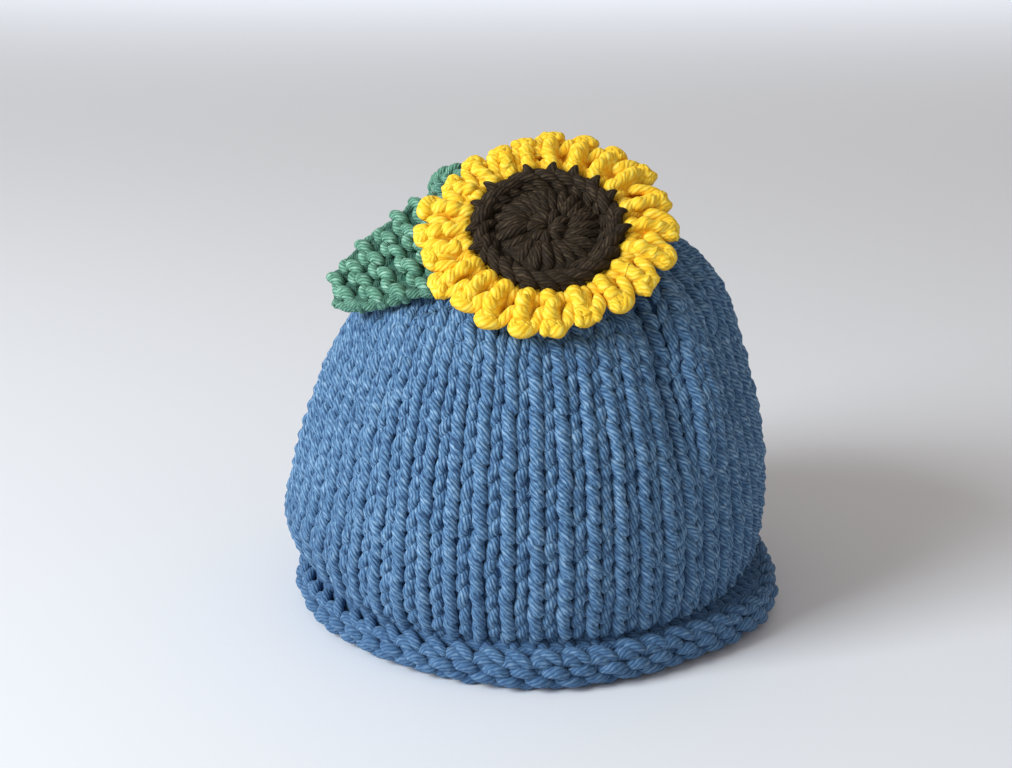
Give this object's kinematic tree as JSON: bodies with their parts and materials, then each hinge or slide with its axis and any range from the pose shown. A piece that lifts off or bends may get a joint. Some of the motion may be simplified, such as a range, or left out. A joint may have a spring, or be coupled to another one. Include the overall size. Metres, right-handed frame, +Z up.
{
  "type": "tea cosy",
  "caption": "Knitted dome-shaped tea cosy with a rolled hem, side slits for spout and handle, and a crocheted flower with leaves on top.",
  "frame": {"origin": "on the floor, under the middle of the whole part's box", "axes": "+Z up, the front of the flower faces -Y, the spout slit is at -X and the handle slit at +X"},
  "size_m": [0.129, 0.1281, 0.1211],
  "materials": {
    "blue_yarn": "soft plied yarn in stocking stitch, matt with a slight sheen",
    "yellow_yarn": "soft plied yarn, crocheted in a ruffle",
    "brown_yarn": "soft plied yarn, crocheted in the round, slightly fuzzy",
    "green_yarn": "soft plied yarn in ridged garter stitch"
  },
  "bodies": {
    "root": {"cosy_body": "blue_yarn", "flower_petals": "yellow_yarn", "flower_centre": "brown_yarn", "leaf_left": "green_yarn", "leaf_back": "green_yarn"}
  },
  "joints": []
}
